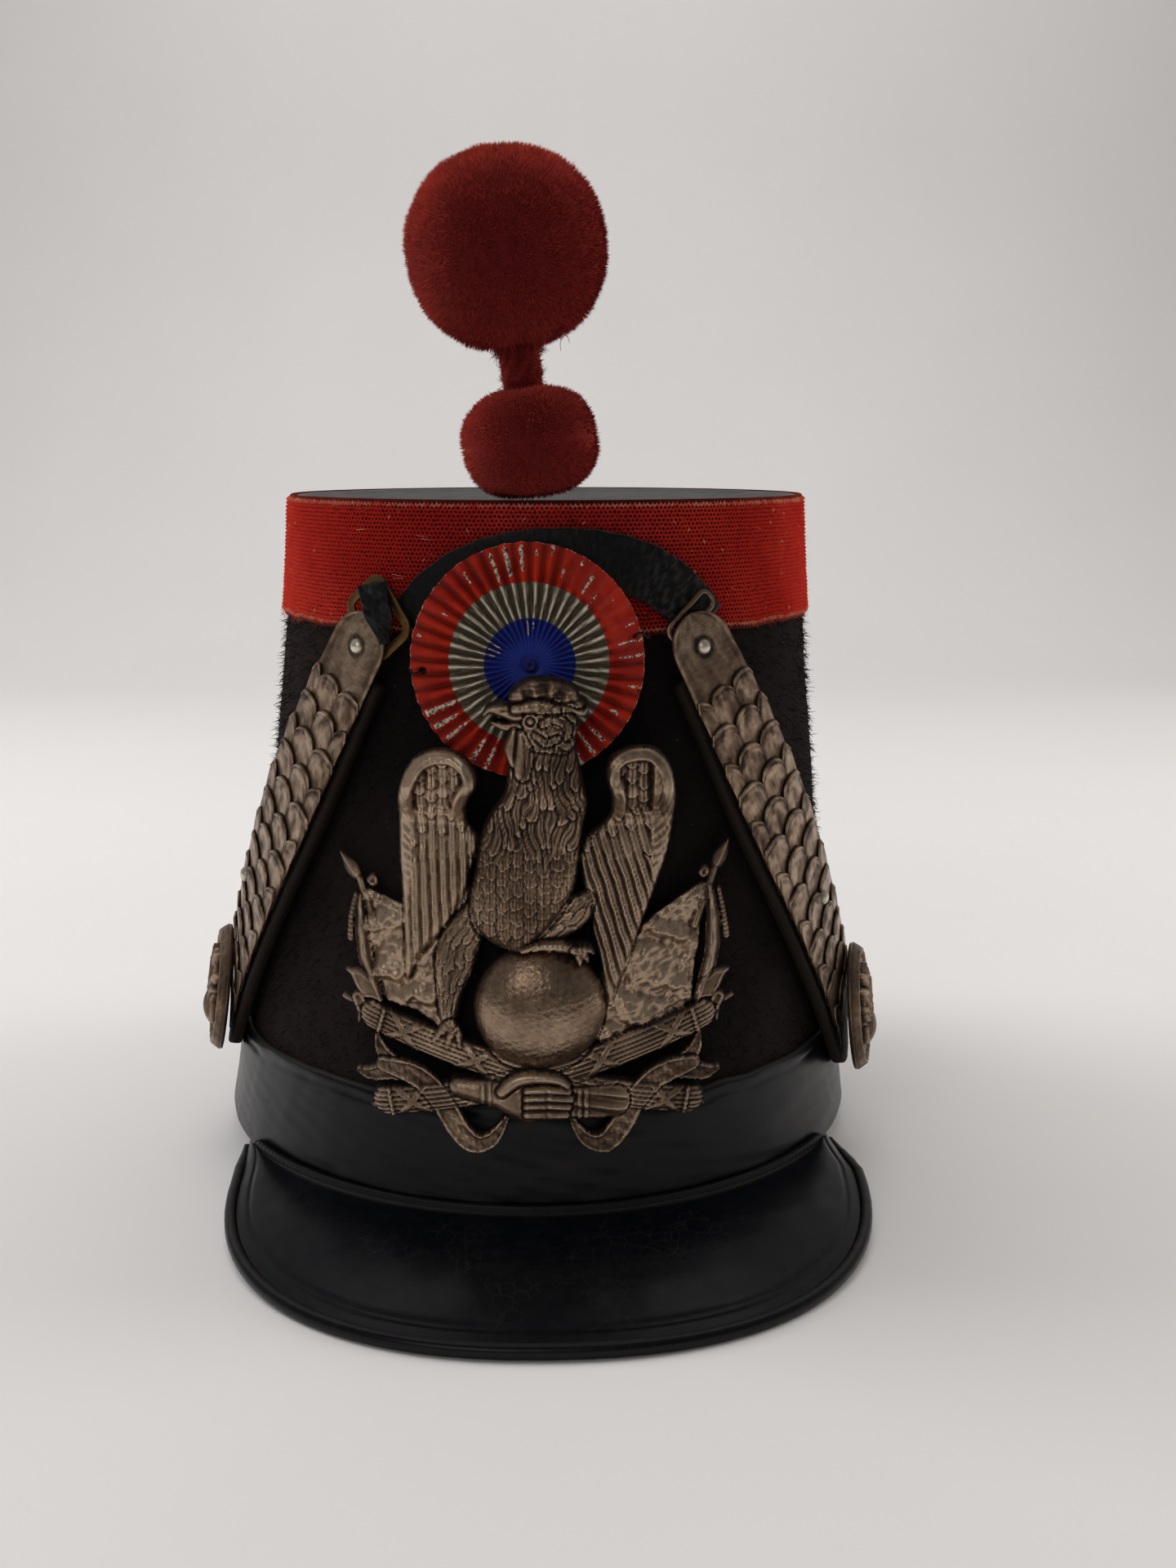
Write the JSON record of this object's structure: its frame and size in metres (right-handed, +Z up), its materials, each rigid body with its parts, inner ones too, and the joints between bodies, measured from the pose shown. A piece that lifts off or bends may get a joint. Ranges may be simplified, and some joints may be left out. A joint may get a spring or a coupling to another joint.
{
  "type": "shako hat",
  "caption": "Tapered felt shako with a red band, leather peak, sunburst cockade, bird badge, raised metal scale straps and a double plush pompom.",
  "frame": {"origin": "on the table, at the middle of the ground that the cap covers, with the cap standing on its peak and its back edge", "axes": "+Z up, -Y towards the front of the cap (the peak), +X towards the viewer's right as one faces the badge"},
  "size_m": [0.1782, 0.2554, 0.2455],
  "materials": {
    "felt": "black-brown wool felt with a short nap",
    "red_wool": "coarse scarlet knit, worn",
    "crimson_plush": "short crimson plush",
    "black_leather": "black varnished leather, satin",
    "tarnished_silver": "stamped silvered brass, brown tarnish",
    "dull_brass": "dull brass",
    "painted_tin": "painted in red, silver and blue zones, chipped"
  },
  "bodies": {
    "root": {"arch_strap": "black_leather", "badge": "tarnished_silver", "body_shell": "felt", "buckle": "dull_brass", "cockade": "painted_tin", "crown_top": "black_leather", "large_pompom": "crimson_plush", "leather_band": "black_leather", "left_end_plate": "tarnished_silver", "left_lower_rivet": "tarnished_silver", "left_rosette": "tarnished_silver", "left_scale_01": "tarnished_silver", "left_scale_02": "tarnished_silver", "left_scale_03": "tarnished_silver", "left_scale_04": "tarnished_silver", "left_scale_05": "tarnished_silver", "left_scale_06": "tarnished_silver", "left_scale_07": "tarnished_silver", "left_scale_08": "tarnished_silver", "left_scale_09": "tarnished_silver", "left_scale_10": "tarnished_silver", "left_scale_11": "tarnished_silver", "left_scale_12": "tarnished_silver", "left_scale_13": "tarnished_silver", "left_strap_backing": "black_leather", "left_upper_rivet": "tarnished_silver", "peak": "black_leather", "peak_welt": "black_leather", "pompom_neck": "crimson_plush", "red_band": "red_wool", "right_end_plate": "tarnished_silver", "right_lower_rivet": "tarnished_silver", "right_rosette": "tarnished_silver", "right_scale_01": "tarnished_silver", "right_scale_02": "tarnished_silver", "right_scale_03": "tarnished_silver", "right_scale_04": "tarnished_silver", "right_scale_05": "tarnished_silver", "right_scale_06": "tarnished_silver", "right_scale_07": "tarnished_silver", "right_scale_08": "tarnished_silver", "right_scale_09": "tarnished_silver", "right_scale_10": "tarnished_silver", "right_scale_11": "tarnished_silver", "right_scale_12": "tarnished_silver", "right_scale_13": "tarnished_silver", "right_strap_backing": "black_leather", "right_upper_rivet": "tarnished_silver", "small_pompom": "crimson_plush", "strap_tip": "black_leather", "wire_loop": "tarnished_silver"}
  },
  "joints": []
}
